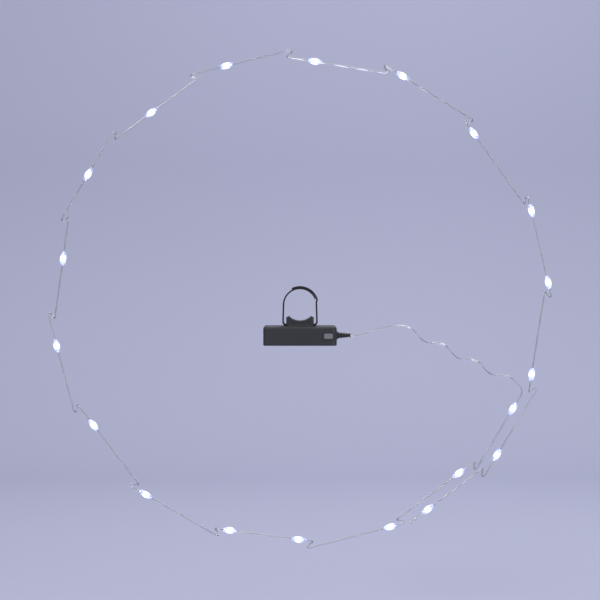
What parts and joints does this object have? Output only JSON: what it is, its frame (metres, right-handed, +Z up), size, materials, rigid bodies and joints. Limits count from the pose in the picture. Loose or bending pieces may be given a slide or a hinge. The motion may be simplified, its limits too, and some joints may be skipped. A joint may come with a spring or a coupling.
{
  "type": "spoke wheel light",
  "caption": "String of LED beads on a clear wire, wound round a wheel's spokes into a ring, fed by a battery box with a sliding cover that a strap holds under the hub.",
  "frame": {"origin": "centre of the hub barrel that the strap and the saddle hold, on the wheel's axle", "axes": "+Y along the axle, away from the camera; +Z up; +X towards the side where the lead leaves the box"},
  "size_m": [0.5132, 0.052, 0.5076],
  "materials": {
    "box_plastic": "black moulded plastic with a fine spark-eroded grain",
    "cover_plastic": "black moulded plastic with a fine spark-eroded grain",
    "pad_rubber": "soft black rubber, grooved along the axle",
    "strap_fabric": "black woven nylon hook-and-loop webbing",
    "cell_can": "steel can in a plain printed sleeve",
    "nickel_sheet": "nickel-plated spring sheet",
    "spring_steel": "nickel-plated spring wire",
    "red_insulation": "red PVC insulation",
    "black_insulation": "black PVC insulation",
    "board_laminate": "glass-epoxy laminate with green solder mask",
    "chip_resin": "black moulding resin",
    "part_ceramic": "ceramic chip parts",
    "switch_plastic": "black heat-proof plastic",
    "plunger_plastic": "ivory plastic",
    "button_plastic": "grey soft-touch plastic",
    "gland_rubber": "black moulded rubber",
    "clear_insulation": "clear PVC over two fine tinned strands",
    "clear_bead": "clear moulded resin, lit cold white from inside",
    "led_phosphor": "phosphor-coated white LED chip",
    "clear_cap": "clear moulded sealing cap"
  },
  "bodies": {
    "box": {"battery_base": "box_plastic", "hub_pad": "pad_rubber", "hub_strap": "strap_fabric", "cell_1": "cell_can", "cell_2": "cell_can", "cell_3": "cell_can", "contact_plates": "nickel_sheet", "contact_springs": "spring_steel", "red_lead": "red_insulation", "black_lead": "black_insulation", "circuit_board": "board_laminate", "control_chip": "chip_resin", "board_parts": "part_ceramic", "tact_switch": "switch_plastic", "cable_gland": "gland_rubber", "string_wire": "clear_insulation", "led_chips": "led_phosphor", "end_cap": "clear_cap", "led_bead_01": "clear_bead", "led_bead_02": "clear_bead", "led_bead_03": "clear_bead", "led_bead_04": "clear_bead", "led_bead_05": "clear_bead", "led_bead_06": "clear_bead", "led_bead_07": "clear_bead", "led_bead_08": "clear_bead", "led_bead_09": "clear_bead", "led_bead_10": "clear_bead", "led_bead_11": "clear_bead", "led_bead_12": "clear_bead", "led_bead_13": "clear_bead", "led_bead_14": "clear_bead", "led_bead_15": "clear_bead", "led_bead_16": "clear_bead", "led_bead_17": "clear_bead", "led_bead_18": "clear_bead", "led_bead_19": "clear_bead", "led_bead_20": "clear_bead"},
    "cover": {"battery_cover": "cover_plastic"},
    "button": {"power_button": "button_plastic", "switch_plunger": "plunger_plastic"}
  },
  "joints": [
    {"name": "cover_slide", "type": "slide", "parent": "box", "child": "cover", "axis": [-1, 0, 0], "range_m": [0, 0.06]},
    {"name": "button_press", "type": "slide", "parent": "box", "child": "button", "axis": [0, 1, 0], "range_m": [0, 0.0008], "stiffness_N_per_m": 1200}
  ]
}
